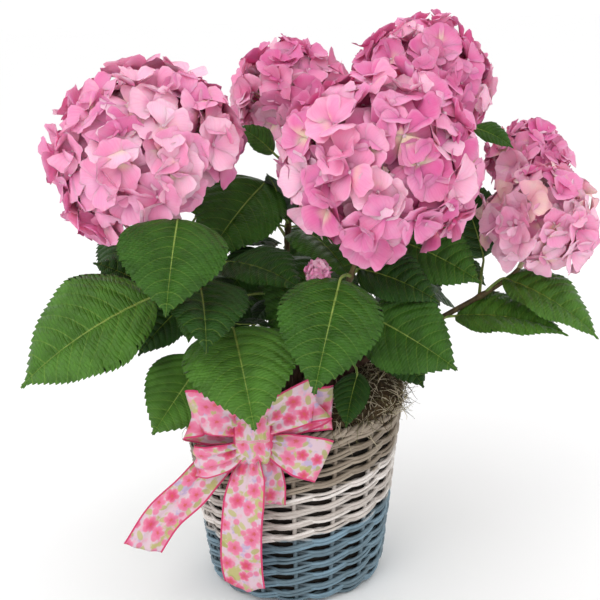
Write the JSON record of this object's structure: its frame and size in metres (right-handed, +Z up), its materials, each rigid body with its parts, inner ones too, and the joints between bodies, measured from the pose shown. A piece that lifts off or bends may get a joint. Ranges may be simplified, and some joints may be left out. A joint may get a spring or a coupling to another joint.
{
  "type": "hydrangea shrub",
  "caption": "Mophead hydrangea with domed pink flower heads over broad serrated leaves, in a round dip-dyed wicker basket with dry moss and a floral ribbon bow.",
  "frame": {"origin": "centre of the basket's flat underside", "axes": "+Z up, -Y to the front with the bow, +X to the right as seen from the front"},
  "size_m": [0.4802, 0.3839, 0.4907],
  "materials": {
    "wicker": "matte",
    "potting_mix": "matte",
    "moss": "matte",
    "bark": "matte",
    "leaf": "satin",
    "green_stem": "satin",
    "sepal": "matte",
    "ribbon": "satin"
  },
  "bodies": {
    "root": {"basket_wall": "wicker", "potting_mix": "potting_mix", "moss_ring": "moss", "bow_knot": "ribbon", "bow_loop_upper_left": "ribbon", "bow_loop_lower_left": "ribbon", "bow_loop_upper_right": "ribbon", "bow_loop_rear_right": "ribbon", "bow_tail_right": "ribbon", "bow_tail_left": "ribbon", "bow_tail_down": "ribbon", "bow_tail_short": "ribbon", "cane_left": "bark", "cane_middle": "bark", "cane_front": "bark", "cane_top": "bark", "cane_right": "bark", "cane_right_rear": "bark", "cane_rear": "bark", "cane_rear_left": "bark", "leaves_left": "leaf", "leaves_middle": "leaf", "leaves_front": "leaf", "leaves_top": "leaf", "leaves_right": "leaf", "leaves_right_rear": "leaf", "leaves_rear": "leaf", "leaves_rear_left": "leaf", "bloom_left": "sepal", "bloom_middle": "sepal", "bloom_front": "sepal", "bloom_top": "sepal", "bloom_right": "sepal", "bloom_right_rear": "sepal", "bloom_rear": "sepal", "bloom_rear_left": "sepal", "bud_cluster": "sepal"}
  },
  "joints": []
}
